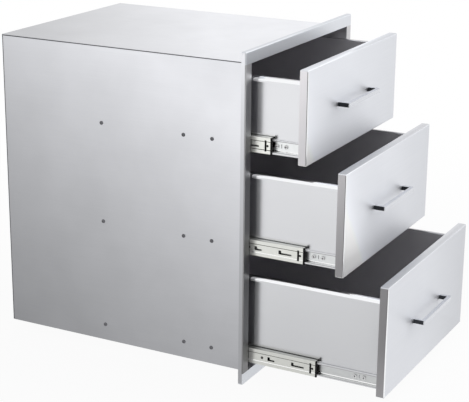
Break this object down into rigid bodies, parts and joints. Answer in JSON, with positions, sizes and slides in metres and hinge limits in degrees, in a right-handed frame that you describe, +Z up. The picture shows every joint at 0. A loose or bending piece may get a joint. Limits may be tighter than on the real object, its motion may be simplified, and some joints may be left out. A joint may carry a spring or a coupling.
{
  "type": "outdoor kitchen drawer unit",
  "caption": "Built-in sheet steel box with a front frame and drawers of growing height on telescopic ball slides, standing open.",
  "frame": {"origin": "centre of the box's underside, halfway between the frame's front face and the back panel", "axes": "+X to the right seen from the front, +Y from the front to the back, +Z up; the drawers open towards -Y"},
  "size_m": [0.407, 0.7361, 0.557],
  "materials": {
    "box_steel": "satin",
    "frame_steel": "satin",
    "front_steel": "satin",
    "tray_steel": "satin",
    "handle_steel": "satin",
    "zinc_rail": "zinc plated",
    "cage_steel": "plain",
    "fastener_steel": "plain",
    "rail_plastic": "matt"
  },
  "bodies": {
    "cabinet": {"left_side_panel": "box_steel", "right_side_panel": "box_steel", "top_panel": "box_steel", "bottom_panel": "box_steel", "back_panel": "box_steel", "frame_left_stile": "frame_steel", "frame_right_stile": "frame_steel", "frame_top_rail": "frame_steel", "frame_bottom_rail": "frame_steel", "left_rail_rivets": "fastener_steel", "right_rail_rivets": "fastener_steel", "top_left_cabinet_rail": "zinc_rail", "top_right_cabinet_rail": "zinc_rail", "middle_left_cabinet_rail": "zinc_rail", "middle_right_cabinet_rail": "zinc_rail", "bottom_left_cabinet_rail": "zinc_rail", "bottom_right_cabinet_rail": "zinc_rail"},
    "top_drawer": {"top_drawer_tray": "tray_steel", "top_drawer_back": "tray_steel", "top_front_skin": "front_steel", "top_front_backing": "tray_steel", "top_handle": "handle_steel", "top_handle_screws": "fastener_steel", "top_left_drawer_rail": "zinc_rail", "top_right_drawer_rail": "zinc_rail", "top_rail_screws": "fastener_steel"},
    "top_telescope_rails": {"top_left_telescope_rail": "zinc_rail", "top_right_telescope_rail": "zinc_rail", "top_rail_bumpers": "rail_plastic"},
    "top_outer_cages": {"top_outer_ball_cages": "cage_steel"},
    "top_inner_cages": {"top_inner_ball_cages": "cage_steel"},
    "middle_drawer": {"middle_drawer_tray": "tray_steel", "middle_drawer_back": "tray_steel", "middle_front_skin": "front_steel", "middle_front_backing": "tray_steel", "middle_handle": "handle_steel", "middle_handle_screws": "fastener_steel", "middle_left_drawer_rail": "zinc_rail", "middle_right_drawer_rail": "zinc_rail", "middle_rail_screws": "fastener_steel"},
    "middle_telescope_rails": {"middle_left_telescope_rail": "zinc_rail", "middle_right_telescope_rail": "zinc_rail", "middle_rail_bumpers": "rail_plastic"},
    "middle_outer_cages": {"middle_outer_ball_cages": "cage_steel"},
    "middle_inner_cages": {"middle_inner_ball_cages": "cage_steel"},
    "bottom_drawer": {"bottom_drawer_tray": "tray_steel", "bottom_drawer_back": "tray_steel", "bottom_front_skin": "front_steel", "bottom_front_backing": "tray_steel", "bottom_handle": "handle_steel", "bottom_handle_screws": "fastener_steel", "bottom_left_drawer_rail": "zinc_rail", "bottom_right_drawer_rail": "zinc_rail", "bottom_rail_screws": "fastener_steel"},
    "bottom_telescope_rails": {"bottom_left_telescope_rail": "zinc_rail", "bottom_right_telescope_rail": "zinc_rail", "bottom_rail_bumpers": "rail_plastic"},
    "bottom_outer_cages": {"bottom_outer_ball_cages": "cage_steel"},
    "bottom_inner_cages": {"bottom_inner_ball_cages": "cage_steel"}
  },
  "joints": [
    {"name": "top_drawer_slide", "type": "slide", "parent": "cabinet", "child": "top_drawer", "axis": [0, -1, 0], "range_m": [-0.0962, 0.3538]},
    {"name": "top_telescope_rails_slide", "type": "slide", "parent": "cabinet", "child": "top_telescope_rails", "axis": [0, -1, 0], "range_m": [-0.05792, 0.21248]},
    {"name": "top_outer_cages_slide", "type": "slide", "parent": "cabinet", "child": "top_outer_cages", "axis": [0, -1, 0], "range_m": [-0.02906, 0.10634]},
    {"name": "top_inner_cages_slide", "type": "slide", "parent": "cabinet", "child": "top_inner_cages", "axis": [0, -1, 0], "range_m": [-0.07716, 0.28324]},
    {"name": "middle_drawer_slide", "type": "slide", "parent": "cabinet", "child": "middle_drawer", "axis": [0, -1, 0], "range_m": [-0.1645, 0.2855]},
    {"name": "middle_telescope_rails_slide", "type": "slide", "parent": "cabinet", "child": "middle_telescope_rails", "axis": [0, -1, 0], "range_m": [-0.11864, 0.20576]},
    {"name": "middle_outer_cages_slide", "type": "slide", "parent": "cabinet", "child": "middle_outer_cages", "axis": [0, -1, 0], "range_m": [-0.05942, 0.10298]},
    {"name": "middle_inner_cages_slide", "type": "slide", "parent": "cabinet", "child": "middle_inner_cages", "axis": [0, -1, 0], "range_m": [-0.14167, 0.24573]},
    {"name": "bottom_drawer_slide", "type": "slide", "parent": "cabinet", "child": "bottom_drawer", "axis": [0, -1, 0], "range_m": [-0.2416, 0.2084]},
    {"name": "bottom_telescope_rails_slide", "type": "slide", "parent": "cabinet", "child": "bottom_telescope_rails", "axis": [0, -1, 0], "range_m": [-0.14516, 0.12524]},
    {"name": "bottom_outer_cages_slide", "type": "slide", "parent": "cabinet", "child": "bottom_outer_cages", "axis": [0, -1, 0], "range_m": [-0.07268, 0.06272]},
    {"name": "bottom_inner_cages_slide", "type": "slide", "parent": "cabinet", "child": "bottom_inner_cages", "axis": [0, -1, 0], "range_m": [-0.19348, 0.16692]}
  ],
  "couplings": [
    {"joint": "top_telescope_rails_slide", "follows": "top_drawer_slide", "ratio": 0.6},
    {"joint": "top_outer_cages_slide", "follows": "top_drawer_slide", "ratio": 0.3},
    {"joint": "top_inner_cages_slide", "follows": "top_drawer_slide", "ratio": 0.8},
    {"joint": "middle_telescope_rails_slide", "follows": "middle_drawer_slide", "ratio": 0.72},
    {"joint": "middle_outer_cages_slide", "follows": "middle_drawer_slide", "ratio": 0.36},
    {"joint": "middle_inner_cages_slide", "follows": "middle_drawer_slide", "ratio": 0.86},
    {"joint": "bottom_telescope_rails_slide", "follows": "bottom_drawer_slide", "ratio": 0.6},
    {"joint": "bottom_outer_cages_slide", "follows": "bottom_drawer_slide", "ratio": 0.3},
    {"joint": "bottom_inner_cages_slide", "follows": "bottom_drawer_slide", "ratio": 0.8}
  ]
}
